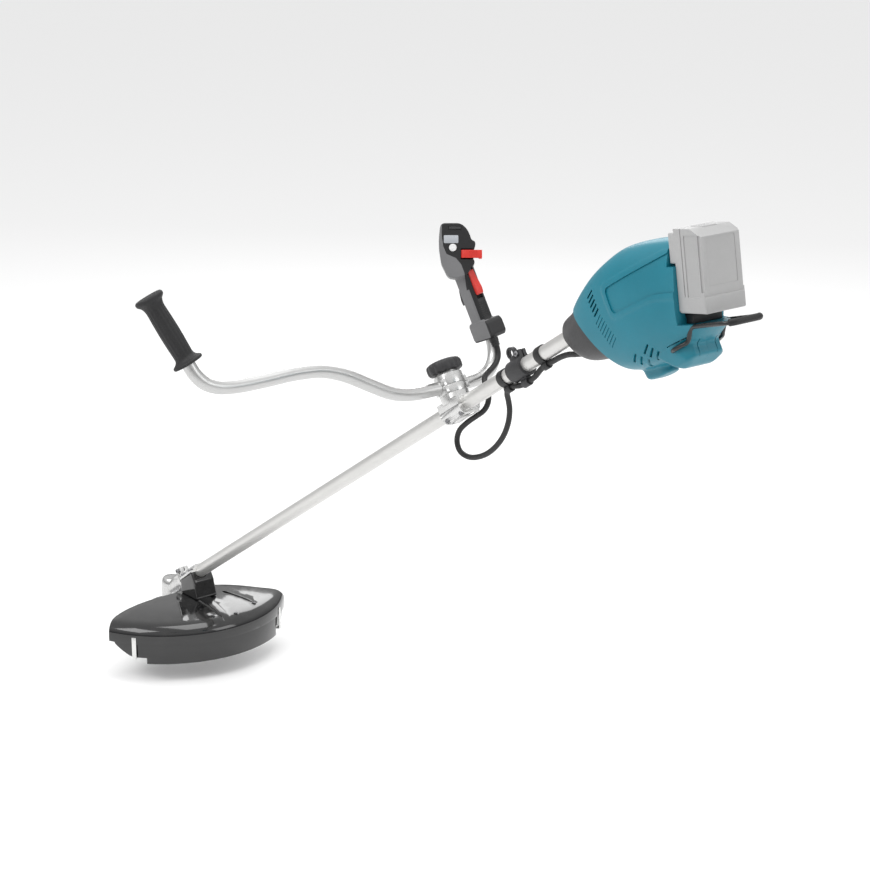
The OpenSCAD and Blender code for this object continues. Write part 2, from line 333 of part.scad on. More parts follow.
rod_path = [[568, -38, -112], [580, -44, -112], [592, -41, -111.5], [601, -37, -111], [606, -35, -108], [612, -35, -102], [618, -35, -97], [624, -35, -95], [632, -35, -97], [660, -35, -105.5], [682, -35, -112.5], [691, -32, -115.5], [696, -25, -117], [698, -15, -117.5],
  [698, 15, -117.5], [696, 25, -117], [691, 32, -115.5], [682, 35, -112.5], [660, 35, -105.5], [632, 35, -97], [624, 35, -95], [618, 35, -97], [612, 35, -102], [606, 35, -108], [601, 37, -111], [592, 41, -111.5], [580, 44, -112], [568, 38, -112]];
module bumper_rod() { color([0.08, 0.08, 0.09]) S() rod(smooth(rod_path, 2), 3.4, 12, [0.3, 0.05, 1]); }
module bumper_sleeve() { color([0.06, 0.06, 0.06]) S() pipe(smooth([for (i = [11 : 16]) rod_path[i]], 2), 5.4, 3.5, 12, [0.3, 0.05, 1]); }

// ================= battery =================
module battery_case() { color([0.75, 0.75, 0.75]) S() rotate([0, bat_lean, 0]) difference() {
  union() { box(591, 647, -bat_w / 2, bat_w / 2, 183, 183 + bat_h); box(579, 592, -bat_w / 2, bat_w / 2, 255, 183 + bat_h - 6); box(573, 592, -28.5, 28.5, 182, 256); }
  box(595, 644, -bat_w / 2 + 3, bat_w / 2 - 3, 187, 290);
  box(600, 626, -14.4, 14.4, 294, 330);
  for (s = [-1, 1]) translate([0, s * 28.5, 0]) box(582, 586.5, -3, 3, 181, 252);
} }
module battery_cells() { color("steelblue") S() rotate([0, bat_lean, 0]) for (i = [0, 1], j = [0 : 4]) translate([608.5 + i * 22, 0, 197.5 + j * 20.6]) ycyl(10, -35, 35); }
module battery_release() { color([0.6, 0.6, 0.6]) S() rotate([0, bat_lean, 0]) box(600.3, 625.7, -14.1, 14.1, 299, 183 + bat_h + 1.5); }

main_tube();
shaft_bushes();
drive_shaft();
pinion();
bevel_gear();
cutter_spindle();
gear_case();
pinion_bearings();
spindle_bearings();
gear_case_screws();
receive_washer();
head_housing();
head_cover();
head_spool();
cutting_line();
tap_knob();
guard_body();
guard_skirt();
guard_clips();
guard_bracket();
guard_clamp_cap();
guard_screws();
line_blade();
clamp_base();
clamp_cap();
clamp_screws();
bar_clamp_lower();
bar_clamp_upper();
clamp_knob();
handlebar();
left_grip();
grip_shell_inner();
grip_shell_outer();
throttle_trigger();
lock_off_lever();
thumb_lever();
power_button();
mode_button();
display_window();
grip_gland();
grip_switch();
cable_upper();
cable_lower();
cable_holders();
hanger_band();
hanger_screw();
front_cone();
housing_left();
housing_right();
stator();
rotor();
fan();
motor_brackets();
controller_board();
battery_seat();
bumper_rod();
bumper_sleeve();
battery_case();
battery_cells();
battery_release();
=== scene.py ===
import bpy, bmesh, json, math
import numpy as np
from mathutils import Vector, Matrix, noise as mnoise

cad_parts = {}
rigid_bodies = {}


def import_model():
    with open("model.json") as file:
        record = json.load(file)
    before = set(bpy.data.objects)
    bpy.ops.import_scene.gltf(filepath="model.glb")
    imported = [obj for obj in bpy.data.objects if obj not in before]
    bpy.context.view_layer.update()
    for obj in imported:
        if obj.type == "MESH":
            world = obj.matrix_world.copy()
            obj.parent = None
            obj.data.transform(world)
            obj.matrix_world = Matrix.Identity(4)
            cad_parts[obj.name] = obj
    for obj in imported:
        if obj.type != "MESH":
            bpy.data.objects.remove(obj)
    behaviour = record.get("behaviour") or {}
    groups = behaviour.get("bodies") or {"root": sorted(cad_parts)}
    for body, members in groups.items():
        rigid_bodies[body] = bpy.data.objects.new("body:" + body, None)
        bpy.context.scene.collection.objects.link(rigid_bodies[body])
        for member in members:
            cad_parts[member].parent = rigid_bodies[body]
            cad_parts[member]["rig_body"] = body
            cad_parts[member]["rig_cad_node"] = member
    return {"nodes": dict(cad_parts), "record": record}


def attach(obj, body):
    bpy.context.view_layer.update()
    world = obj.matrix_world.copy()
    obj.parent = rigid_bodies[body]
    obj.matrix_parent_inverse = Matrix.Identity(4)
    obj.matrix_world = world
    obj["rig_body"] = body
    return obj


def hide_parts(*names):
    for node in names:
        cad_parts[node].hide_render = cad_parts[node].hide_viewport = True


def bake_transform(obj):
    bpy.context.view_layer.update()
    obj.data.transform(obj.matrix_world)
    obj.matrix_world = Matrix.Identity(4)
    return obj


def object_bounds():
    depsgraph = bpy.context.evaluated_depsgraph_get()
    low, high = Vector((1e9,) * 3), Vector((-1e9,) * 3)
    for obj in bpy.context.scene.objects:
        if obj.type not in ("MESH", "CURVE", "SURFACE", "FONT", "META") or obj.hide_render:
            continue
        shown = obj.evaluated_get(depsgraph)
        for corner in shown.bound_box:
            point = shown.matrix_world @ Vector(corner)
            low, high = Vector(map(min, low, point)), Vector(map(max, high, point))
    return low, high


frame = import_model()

cad_lo, cad_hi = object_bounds()
NODES = frame["nodes"]
scene = bpy.context.scene

# ------------------------------------------------------------------ frames (mm in, metres out)
SLOPE, EX, EZ, HX = math.radians(33), 178.0, 29.0, 1077.0
MM = Matrix.Scale(0.001, 4)
def ry(d): return Matrix.Rotation(math.radians(d), 4, "Y")
def rx(d): return Matrix.Rotation(math.radians(d), 4, "X")
def rz(d): return Matrix.Rotation(math.radians(d), 4, "Z")
def tr(x, y, z): return Matrix.Translation((x, y, z))
S = MM @ ry(-33) @ tr(-EX, 0, -EZ)
G = S @ tr(-HX, 0, 0) @ ry(33)
H = S @ tr(3.3, 107.5, 115) @ ry(10.2) @ rx(8.5)
F = S @ tr(44, 91, 260) @ ry(33) @ rz(51.25) @ rx(-17.15)
TF = H.inverted() @ F
LN = 10.0
L = S @ tr(122 * math.sin(math.radians(LN)), -484, 38 + 122 * math.cos(math.radians(LN))) @ ry(LN) @ rx(20.4)
B = S @ ry(23.6)

# ------------------------------------------------------------------ camera
cd = bpy.data.cameras.new("cam")
cam = bpy.data.objects.new("cam", cd)
scene.collection.objects.link(cam)
cd.sensor_width = 36
cd.lens = 102.43
cd.clip_start, cd.clip_end = 0.05, 60
fwd, up, right = Vector((-0.745, 0.598, -0.295)).normalized(), Vector((-0.231, 0.185, 0.955)), Vector((0.626, 0.780, 0.0)).normalized()
up = right.cross(fwd).normalized()
m = Matrix((right, up, -fwd)).transposed().to_4x4()
m.translation = (2.909, -2.493, 1.045)
cam.matrix_world = m
scene.camera = cam

# ------------------------------------------------------------------ floor and light
floor_z = cad_lo[2] - 0.001
bm = bmesh.new()
bmesh.ops.create_grid(bm, x_segments=2, y_segments=2, size=50)
me = bpy.data.meshes.new("floor"); bm.to_mesh(me); bm.free()
floor = bpy.data.objects.new("floor", me); scene.collection.objects.link(floor)
floor.location = (0, 0, floor_z)
fm = bpy.data.materials.new("floor"); fm.use_nodes = True
fb = fm.node_tree.nodes["Principled BSDF"]
fb.inputs["Base Color"].default_value = (0.93, 0.93, 0.93, 1)
fb.inputs["Roughness"].default_value = 0.9
floor.data.materials.append(fm)
w = bpy.data.worlds.new("w"); scene.world = w; w.use_nodes = True
w.node_tree.nodes["Background"].inputs[0].default_value = (1, 1, 1, 1)
wt = w.node_tree; wc = wt.nodes.new("ShaderNodeTexCoord"); wx = wt.nodes.new("ShaderNodeSeparateXYZ"); wr = wt.nodes.new("ShaderNodeMapRange")
wt.links.new(wc.outputs["Generated"], wx.inputs[0]); wt.links.new(wx.outputs["Z"], wr.inputs["Value"])
for k_, v_ in (("From Min", 0.0), ("From Max", 0.55), ("To Min", 0.22), ("To Max", 0.95)): wr.inputs[k_].default_value = v_
wt.links.new(wr.outputs["Result"], wt.nodes["Background"].inputs[1])
scene.view_settings.view_transform = "Standard"
def area(name, loc, target, size, power, sy=None):
    d = bpy.data.lights.new(name, "AREA"); d.energy = power; d.size = size
    if sy: d.shape = "RECTANGLE"; d.size_y = sy
    o = bpy.data.objects.new(name, d); scene.collection.objects.link(o)
    o.location = loc
    o.rotation_mode = "QUATERNION"
    o.rotation_quaternion = (Vector(target) - Vector(loc)).to_track_quat("-Z", "Y")
area("key", (-0.6, -2.6, 2.6), (-0.3, 0, -0.2), 2.0, 48)
area("top", (-0.3, 0.4, 3.0), (-0.3, 0, 0), 2.4, 34, 1.6)
area("fill", (3.2, 1.6, 1.4), (-0.2, 0, -0.1), 1.8, 22)
area("rim", (-2.6, 2.2, 1.4), (-0.4, 0, -0.2), 1.4, 20)

# ------------------------------------------------------------------ materials
def mat(name, col, rough, metal=0.0, grain=900.0, bump=0.00008, var=0.06, rvar=0.06, wear=0.10, coat=0.0, coat_rough=0.05, brushed=None, spec=0.5, dust=0.0, kind=None, ior=None, stripes=None):
    m = bpy.data.materials.new(name); m.use_nodes = True
    nt = m.node_tree; N, K = nt.nodes, nt.links
    b = N["Principled BSDF"]
    b.inputs["Metallic"].default_value = metal
    b.inputs["Specular IOR Level"].default_value = spec
    if coat: b.inputs["Coat Weight"].default_value = coat; b.inputs["Coat Roughness"].default_value = coat_rough
    tc = N.new("ShaderNodeTexCoord")
    vec = tc.outputs["Object"]
    def noise(scale, detail=3, rough_=0.55, v=None, dist=0.0):
        n = N.new("ShaderNodeTexNoise"); n.inputs["Scale"].default_value = scale
        n.inputs["Detail"].default_value = detail; n.inputs["Roughness"].default_value = rough_
        n.inputs["Distortion"].default_value = dist
        K.new(v or vec, n.inputs["Vector"]); return n.outputs["Fac"]
    def remap(f, a, b_, lo=0.3, hi=0.7):
        r = N.new("ShaderNodeMapRange"); K.new(f, r.inputs["Value"])
        r.inputs["From Min"].default_value = lo; r.inputs["From Max"].default_value = hi
        r.inputs["To Min"].default_value = a; r.inputs["To Max"].default_value = b_
        return r.outputs["Result"]
    def mixc(f, a, b_):
        x = N.new("ShaderNodeMix"); x.data_type = "RGBA"
        K.new(f, x.inputs[0])
        for i, c in ((6, a), (7, b_)):
            if isinstance(c, tuple): x.inputs[i].default_value = c
            else: K.new(c, x.inputs[i])
        return x.outputs[2]
    c = lambda k: tuple(min(1, max(0, v * k)) for v in col) + (1,)
    base = mixc(remap(noise(14, 4), 0, 1), c(1 - var), c(1 + var))
    base = mixc(remap(noise(160, 3), 0, 0.5), base, c(1 - var * 0.8))
    if wear:
        g = N.new("ShaderNodeNewGeometry")
        e = remap(g.outputs["Pointiness"], 0, 1, 0.515, 0.60)
        wm = N.new("ShaderNodeMath"); wm.operation = "MULTIPLY"; K.new(e, wm.inputs[0]); K.new(remap(noise(220, 4), 0.2, 1.0), wm.inputs[1])
        wm2 = N.new("ShaderNodeMath"); wm2.operation = "MULTIPLY"; K.new(wm.outputs[0], wm2.inputs[0]); wm2.inputs[1].default_value = wear
        base = mixc(wm2.outputs[0], base, tuple(min(1, v * 1.7 + 0.06) for v in col) + (1,))
    if dust:
        base = mixc(remap(noise(40, 5, 0.65), 0, dust, 0.5, 0.75), base, (0.5, 0.48, 0.45, 1))
    K.new(base, b.inputs["Base Color"])
    K.new(remap(noise(grain * 0.3, 3), max(0.02, rough - rvar), min(1, rough + rvar)), b.inputs["Roughness"])
    if brushed:
        mp = N.new("ShaderNodeMapping"); mp.inputs["Rotation"].default_value = brushed[0]; mp.inputs["Scale"].default_value = brushed[1]
        K.new(vec, mp.inputs["Vector"])
        h = noise(1.0, 2, 0.5, mp.outputs["Vector"])
    elif stripes:
        h = noise(grain, 2)
    elif kind == "leather":
        v = N.new("ShaderNodeTexVoronoi"); v.inputs["Scale"].default_value = grain; K.new(vec, v.inputs["Vector"]); h = v.outputs["Distance"]
    else:
        h = noise(grain, 2)
    bp = N.new("ShaderNodeBump"); bp.inputs["Distance"].default_value = bump; bp.inputs["Strength"].default_value = 0.8
    K.new(h, bp.inputs["Height"]); K.new(bp.outputs["Normal"], b.inputs["Normal"])
    return m

TUBE_ROT = (0.0, -math.radians(33), 0.0)
M = {
 "tube": mat("satin_tube", (0.66, 0.655, 0.64), 0.36, 0.62, 700, 0.00003, 0.03, 0.05, 0.0, brushed=((0, math.radians(-33), 0), (25, 2200, 2200))),
 "bar": mat("bar_alu", (0.56, 0.56, 0.555), 0.34, 0.90, 700, 0.00001, 0.04, 0.05, 0.0),
 "cast": mat("cast_alu", (0.60, 0.60, 0.595), 0.26, 0.95, 1100, 0.00002, 0.05, 0.07, 0.15),
 "steel": mat("steel", (0.55, 0.55, 0.56), 0.28, 1.0, 900, 0.00003, 0.06, 0.07, 0.1),
 "dzinc": mat("dark_zinc", (0.26, 0.26, 0.27), 0.35, 0.9, 900, 0.00003, 0.08, 0.08, 0.3),
 "spring": mat("spring_steel", (0.72, 0.72, 0.71), 0.22, 1.0, 700, 0.00003, 0.05, 0.05, 0.1),
 "gloss": mat("guard_gloss", (0.0035, 0.0035, 0.004), 0.12, 0.0, 500, 0.00003, 0.15, 0.04, 0.06, coat=0.6, coat_rough=0.04, dust=0.02),
 "black": mat("black_plastic", (0.009, 0.009, 0.010), 0.46, 0.0, 1600, 0.00006, 0.12, 0.07, 0.10),
 "grey": mat("dark_grey_plastic", (0.026, 0.026, 0.028), 0.48, 0.0, 1600, 0.00007, 0.10, 0.07, 0.12),
 "rubber": mat("grip_rubber", (0.013, 0.013, 0.014), 0.62, 0.0, 1300, 0.00012, 0.12, 0.06, 0.08),
 "softgrey": mat("soft_grey", (0.17, 0.17, 0.175), 0.55, 0.0, 1300, 0.0001, 0.08, 0.06, 0.08),
 "teal": mat("teal_plastic", (0.006, 0.185, 0.255), 0.40, 0.0, 1500, 0.00007, 0.07, 0.06, 0.10),
 "red": mat("red_plastic", (0.62, 0.03, 0.02), 0.40, 0.0, 1500, 0.00005, 0.08, 0.06, 0.10),
 "white": mat("white_plastic", (0.78, 0.78, 0.78), 0.40, 0.0, 1500, 0.00005, 0.03, 0.06, 0.0),
 "lens": mat("display_lens", (0.42, 0.44, 0.47), 0.10, 0.0, 600, 0.00001, 0.05, 0.03, 0.0, coat=0.8),
 "cable": mat("cable_sleeve", (0.007, 0.007, 0.0075), 0.5, 0.0, 1200, 0.00006, 0.12, 0.08, 0.12),
 "rod": mat("black_paint", (0.006, 0.006, 0.0065), 0.32, 0.0, 900, 0.00004, 0.10, 0.06, 0.2, coat=0.3),
 "pack": mat("battery_grey", (0.40, 0.40, 0.40), 0.46, 0.0, 1600, 0.00007, 0.04, 0.07, 0.05),
 "cell": mat("cell_wrap", (0.16, 0.28, 0.40), 0.35, 0.0, 900, 0.00003, 0.08),
 "copper": mat("winding", (0.55, 0.27, 0.12), 0.35, 0.9, 900, 0.00008, 0.10),
 "board": mat("board", (0.02, 0.12, 0.05), 0.4, 0.0, 900, 0.00005, 0.10),
 "line": mat("nylon_line", (0.42, 0.60, 0.08), 0.3, 0.0, 900, 0.00003, 0.06),
 "spool": mat("spool_nylon", (0.60, 0.22, 0.03), 0.45, 0.0, 1500, 0.00005, 0.06),
}
CADMAT = {"main_tube": "tube", "shaft_bushes": "black", "drive_shaft": "steel", "pinion": "steel", "bevel_gear": "steel", "cutter_spindle": "steel",
 "gear_case": "cast", "pinion_bearings": "steel", "spindle_bearings": "steel", "gear_case_screws": "dzinc", "receive_washer": "steel",
 "head_housing": "grey", "head_cover": "black", "head_spool": "spool", "cutting_line": "line", "tap_knob": "black",
 "guard_body": "gloss", "guard_skirt": "gloss", "guard_clips": "spring", "guard_bracket": "black", "guard_clamp_cap": "cast", "guard_screws": "dzinc",
 "line_blade": "spring", "clamp_base": "cast", "clamp_cap": "cast", "clamp_screws": "dzinc", "bar_clamp_lower": "cast", "bar_clamp_upper": "cast",
 "clamp_knob": "grey", "handlebar": "bar", "left_grip": "rubber", "grip_shell_inner": "softgrey", "grip_shell_outer": "black", "throttle_trigger": "black",
 "lock_off_lever": "red", "thumb_lever": "red", "power_button": "white", "mode_button": "grey", "display_window": "lens", "grip_gland": "cable",
 "grip_switch": "black", "cable_upper": "cable", "cable_lower": "cable", "cable_holders": "black", "hanger_band": "grey", "hanger_screw": "dzinc",
 "front_cone": "grey", "housing_left": "teal", "housing_right": "teal", "stator": "copper", "rotor": "steel", "fan": "black", "motor_brackets": "cast",
 "controller_board": "board", "battery_seat": "black", "bumper_rod": "rod", "bumper_sleeve": "cable", "battery_case": "pack", "battery_cells": "cell",
 "battery_release": "pack"}
for n, o in NODES.items():
    o.data.materials.clear(); o.data.materials.append(M[CADMAT[n]])

# ------------------------------------------------------------------ mesh tools (all in mm, own frame)
def obj(name, V, F):
    me = bpy.data.meshes.new(name); me.from_pydata([tuple(v) for v in V], [], [tuple(f) for f in F]); me.update()
    bm = bmesh.new(); bm.from_mesh(me)
    bmesh.ops.remove_doubles(bm, verts=bm.verts, dist=1e-5)
    bmesh.ops.recalc_face_normals(bm, faces=bm.faces)
    bm.to_mesh(me); bm.free()
    o = bpy.data.objects.new(name, me); scene.collection.objects.link(o); return o
def loop_solid(rings, name="s"):
    n = len(rings[0]); m_ = len(rings); V = [p for r in rings for p in r]
    F = [(i * n + k, i * n + (k + 1) % n, (i + 1) * n + (k + 1) % n, (i + 1) * n + k) for i in range(m_ - 1) for k in range(n)]
    F += [tuple(range(n - 1, -1, -1)), tuple((m_ - 1) * n + k for k in range(n))]
    return obj(name, V, F)
def box(x0, x1, y0, y1, z0, z1, name="b"):
    return loop_solid([[(x0, y0, z), (x1, y0, z), (x1, y1, z), (x0, y1, z)] for z in (z0, z1)], name)
def cyl(r, a, b, axis="z", c=(0, 0, 0), n=64, r2=None, name="c"):
    out = []
    for t, q in ((a, r), (b, r if r2 is None else r2)):
        ring = []
        for k in range(n):
            u, v = q * math.cos(2 * math.pi * k / n), q * math.sin(2 * math.pi * k / n)
            ring.append({"z": (u, v, t), "x": (t, u, v), "y": (v, t, u)}[axis])
        out.append([(p[0] + c[0], p[1] + c[1], p[2] + c[2]) for p in ring])
    return loop_solid(out, name)
def prism(poly, axis, a, b, name="p"):
    f = {"z": lambda p, t: (p[0], p[1], t), "y": lambda p, t: (p[0], t, p[1]), "x": lambda p, t: (t, p[0], p[1])}[axis]
    return loop_solid([[f(p, t) for p in poly] for t in (a, b)], name)
def rounded(poly, r, seg=5):
    out = []; n = len(poly)
    for i in range(n):
        p0, p1, p2 = Vector(poly[i - 1]), Vector(poly[i]), Vector(poly[(i + 1) % n])
        ri = r[i] if isinstance(r, (list, tuple)) else r
        a, b = (p0 - p1), (p2 - p1)
        d = min(ri, a.length * 0.45, b.length * 0.45)
        A, C = p1 + a.normalized() * d, p1 + b.normalized() * d
        for k in range(seg + 1):
            t = k / seg
            out.append(tuple(A * (1 - t) ** 2 + p1 * 2 * t * (1 - t) + C * t * t))
    return out
def revolve(prof, n=96, name="r"):
    V, F = [], []; k = len(prof)
    for i in range(n):
        a = 2 * math.pi * i / n
        V += [(p[0] * math.cos(a), p[0] * math.sin(a), p[1]) for p in prof]
    for i in range(n):
        j = (i + 1) % n
        for q in range(k):
            q2 = (q + 1) % k
            F.append((i * k + q, j * k + q, j * k + q2, i * k + q2))
    me = bpy.data.meshes.new(name); me.from_pydata(V, [], F)
    bm = bmesh.new(); bm.from_mesh(me); bmesh.ops.remove_doubles(bm, verts=bm.verts, dist=1e-4)
    bmesh.ops.dissolve_degenerate(bm, edges=bm.edges, dist=1e-4); bmesh.ops.recalc_face_normals(bm, faces=bm.faces)
    bm.to_mesh(me); bm.free()
    o = bpy.data.objects.new(name, me); scene.collection.objects.link(o); return o
def cr(p, m_):
    P = np.array(p, float); out = []
    for i in range(len(P) - 1):
        a, b, c, d = P[max(i - 1, 0)], P[i], P[i + 1], P[min(i + 2, len(P) - 1)]
        for k in range(m_):
            t = k / m_
            out.append(0.5 * (2 * b + (c - a) * t + (2 * a - 5 * b + 4 * c - d) * t * t + (3 * b - 3 * c + d - a) * t ** 3))
    out.append(P[-1]); return np.array(out)
def resample(P, step):
    d = np.r_[0, np.cumsum(np.linalg.norm(np.diff(P, axis=0), axis=1))]
    n = max(2, int(round(d[-1] / step)) + 1); t = np.linspace(0, d[-1], n)
    return np.stack([np.interp(t, d, P[:, k]) for k in range(3)], 1), t
def sweep(P, r, n=24, name="t", inner=None):
    P = np.array(P, float); m_ = len(P)
    T = np.gradient(P, axis=0); T /= np.linalg.norm(T, axis=1)[:, None]
    u = np.cross(T[0], [0, 0, 1.0]); 
    if np.linalg.norm(u) < 0.1: u = np.cross(T[0], [1.0, 0, 0])
    u /= np.linalg.norm(u); U = [u]
    for i in range(1, m_):
        u = U[-1] - T[i] * (U[-1] @ T[i]); U.append(u / np.linalg.norm(u))
    U = np.array(U); W = np.cross(T, U)
    R = np.broadcast_to(np.array(r, float), (m_,))
    def rings(R_): return [[tuple(P[i] + R_[i] * (math.cos(2 * math.pi * k / n) * U[i] + math.sin(2 * math.pi * k / n) * W[i])) for k in range(n)] for i in range(m_)]
    if inner is None: return loop_solid(rings(R), name)
    A, Bq = rings(R), rings(R - inner)
    V = [p for q in A for p in q] + [p for q in Bq for p in q]; q0 = m_ * n; F = []
    for i in range(m_ - 1):
        for k in range(n):
            k2 = (k + 1) % n
            F += [(i * n + k, i * n + k2, (i + 1) * n + k2, (i + 1) * n + k), (q0 + i * n + k, q0 + (i + 1) * n + k, q0 + (i + 1) * n + k2, q0 + i * n + k2)]
    for k in range(n):
        k2 = (k + 1) % n; e = (m_ - 1) * n
        F += [(k, q0 + k, q0 + k2, k2), (e + k, e + k2, q0 + e + k2, q0 + e + k)]
    return obj(name, V, F)
def loft(st, n=96, sub=5, grow=0.0, name="l"):
    rings = []
    for s in cr(st, sub):
        x, w_, t, b_, e = s; h, c, q = (t - b_) / 2 + grow, (t + b_) / 2, 2 / e
        ring = []
        for k in range(n):
            a = 2 * math.pi * k / n; ca, sa = math.cos(a), math.sin(a)
            ring.append((x, (w_ + grow) * math.copysign(abs(ca) ** q, ca), c + h * math.copysign(abs(sa) ** q, sa)))
        rings.append(ring)
    return loop_solid(rings, name)
def flat(o, mods=None):
    dg = bpy.context.evaluated_depsgraph_get()
    me = bpy.data.meshes.new_from_object(o.evaluated_get(dg), depsgraph=dg)
    old = o.data; o.modifiers.clear(); o.data = me
    if not old.users: bpy.data.meshes.remove(old)
    return o
def boolean(a, b, op="DIFFERENCE", keep=False, solver="MANIFOLD"):
    md = a.modifiers.new("b", "BOOLEAN"); md.operation = op; md.object = b
    md.solver = solver
    flat(a)
    if not len(a.data.polygons): raise RuntimeError("boolean left nothing: " + a.name)
    if not keep: bpy.data.objects.remove(b)
    return a
def cut(a, *bs):
    for b in bs: boolean(a, b, "DIFFERENCE")
    return a
def join(a, *bs):
    for b in bs: boolean(a, b, "UNION")
    return a
def copy(o, name=None):
    c_ = o.copy(); c_.data = o.data.copy(); scene.collection.objects.link(c_)
    if name: c_.name = name
    return c_
def turn(o, mtx): o.data.transform(mtx); return o
def remesh(o, v, it=0, f=0.5):
    md = o.modifiers.new("r", "REMESH"); md.mode = "VOXEL"; md.voxel_size = v; md.use_smooth_shade = True
    if it: s = o.modifiers.new("s", "SMOOTH"); s.iterations = it; s.factor = f
    return flat(o)
def clean(o, ang=0.6):
    bm = bmesh.new(); bm.from_mesh(o.data)
    bmesh.ops.remove_doubles(bm, verts=bm.verts, dist=1e-4)
    bmesh.ops.dissolve_limit(bm, angle_limit=math.radians(ang), verts=bm.verts, edges=bm.edges)
    bm.to_mesh(o.data); bm.free(); return o
def bevel(o, wdt, seg=2, ang=35):
    clean(o)
    md = o.modifiers.new("v", "BEVEL"); md.width = wdt; md.segments = seg; md.limit_method = "ANGLE"; md.angle_limit = math.radians(ang)
    md.use_clamp_overlap = True; md.miter_outer = "MITER_ARC"
    return flat(o)
def shade(o, ang=38):
    bm = bmesh.new(); bm.from_mesh(o.data); lim = math.radians(ang)
    for f in bm.faces: f.smooth = True
    for e in bm.edges:
        e.smooth = not (len(e.link_faces) == 2 and e.calc_face_angle(0) > lim)
    bm.to_mesh(o.data); bm.free(); return o
def done(o, name, fr, body, material, rep=(), ang=38, mats=None):
    o.name = name; o.data.name = name
    shade(o, ang)
    o.data.transform(fr)
    if fr.determinant() < 0: o.data.flip_normals()
    o.data.materials.clear()
    for q in (mats or [material]): o.data.materials.append(M[q] if isinstance(q, str) else q)
    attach(o, body)
    if rep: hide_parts(*rep)
    return o
BODY = {n: b for b, ns in frame["record"]["behaviour"]["bodies"].items() for n in ns}
def from_cad(node, wdt=0.6, seg=2, ang=30, material=None, extra=None, sh=38):
    """A rounded copy of a CAD node, in mm in the tube frame."""
    o = copy(NODES[node], node + "_look"); o.parent = None; o.hide_render = False; o.hide_viewport = False
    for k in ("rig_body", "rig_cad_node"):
        if k in o: del o[k]
    o.data.transform(S.inverted())
    clean(o, 0.4)
    if wdt: bevel(o, wdt, seg, ang)
    if extra: o = extra(o)
    return done(o, node + "_look", S, BODY[node], material or CADMAT[node], [node], sh)

# ------------------------------------------------------------------ motor housing
SHELL = [[374.3, 45.5, 29, -58.5, 2.3], [386, 49, 31, -62, 2.4], [402, 55, 37, -70, 2.5], [425, 60, 47, -86, 2.6], [460, 63, 58, -104, 2.8],
  [500, 64, 64, -115, 3], [540, 62, 66, -120, 3], [580, 57, 58, -121, 3], [620, 50, 45, -110, 3], [664, 45, 30, -92, 3]]
def hull(pts, name="h"):
    bm = bmesh.new()
    for p in pts: bm.verts.new(p)
    r = bmesh.ops.convex_hull(bm, input=bm.verts)
    bmesh.ops.delete(bm, geom=[v for v in bm.verts if not v.link_faces], context="VERTS")
    bmesh.ops.recalc_face_normals(bm, faces=bm.faces)
    me = bpy.data.meshes.new(name); bm.to_mesh(me); bm.free()
    o = bpy.data.objects.new(name, me); scene.collection.objects.link(o); return o
def corners(*bs): return [(x, y, z) for b in bs for x in b[0:2] for y in b[2:4] for z in b[4:6]]
def rear_block(g): return hull(corners((540, 574, -44 + g, 44 - g, -112 + g, -90), (560, 590 - g, -38 + g, 38 - g, -134 + g, -92), (576, 601 - g, -27 + g, 27 - g, -132 + g, -97), (566, 578 - g, -27 + g, 27 - g, -141 + g, -120)))
def outer_solid():
    o = loft(SHELL, 96, 5)
    join(o, rear_block(0))
    foot = hull([(478 + dx + 16 * math.cos(t / 24 * 2 * math.pi), 16 * math.sin(t / 24 * 2 * math.pi), z) for dx, z0, z1 in ((0, -124, -100), (28, -130, -108)) for z in (z0, z1) for t in range(24)])
    join(o, foot)
    return remesh(o, 1.9, 10, 0.6)
def inner_solid():
    o = loft(SHELL, 64, 4, -3.4)
    join(o, rear_block(3.6))
    bay = turn(box(586.4, 720, -90, 90, 150, 420), ry(23.6)); b2 = turn(box(571.5, 720, -90, 90, 247, 420), ry(23.6)); b3 = turn(box(567.5, 720, -34, 34, 160, 420), ry(23.6))
    return cut(o, bay, b2, b3)
def behind(d): return turn(box(0, 500, -150, 150, -320, 320), tr(408 + d, 0, 17) @ ry(-24.7))
hs = outer_solid()
# raised side band round the recessed panel, both sides
for s in (-1, 1):
    rim = rounded([(497, 26), (676, 26), (676, -46), (650, -50), (626, -50), (592, -36), (562, -33), (500, -31)], 12, 6)
    a = prism(rim, "y", s * 40 if s > 0 else -120, 120 if s > 0 else -40)
    shell_g = loft(SHELL, 96, 5, 0.9)
    boolean(a, shell_g, "INTERSECT")
    join(hs, a)
hs = remesh(hs, 1.7, 5, 0.5)
for s in (-1, 1):
    pan = rounded([(505, 18), (690, 18), (690, -40), (650, -40), (628, -40), (594, -28), (566, -26), (506, -24)], 9, 6)
    a = prism(pan, "y", s * 40 if s > 0 else -120, 120 if s > 0 else -40)
    sub = loft(SHELL, 96, 5, -1.3)
    cut(a, sub)
    cut(hs, a)
hin = inner_solid(); boolean(hin, behind(3.4), "INTERSECT")
cut(hs, hin)
boolean(hs, behind(0.15), "INTERSECT")
cut(hs, cyl(15, 360, 440, "x"))
cut(hs, turn(box(590.4, 720, -90, 90, 166, 420), ry(23.6)), turn(box(577, 720, -90, 90, 251, 420), ry(23.6)), turn(box(572, 600, -29.5, 29.5, 176, 420), ry(23.6)))
def slot_cut(cx, cz, ln, w_, ang):
    p = rounded([(-ln / 2, -w_ / 2), (ln / 2, -w_ / 2), (ln / 2, w_ / 2), (-ln / 2, w_ / 2)], w_ * 0.35, 3)
    o = prism(p, "y", -110, 110); turn(o, tr(cx, 0, cz) @ ry(ang)); return o
for k in range(5): cut(hs, slot_cut(467 + k * 1.2, 24 - k * 7.7, 17, 3.4, -27))
for k in range(3): cut(hs, slot_cut(534.5 + k * 4.2, -92 - k * 7.6, 20, 3.2, -27))
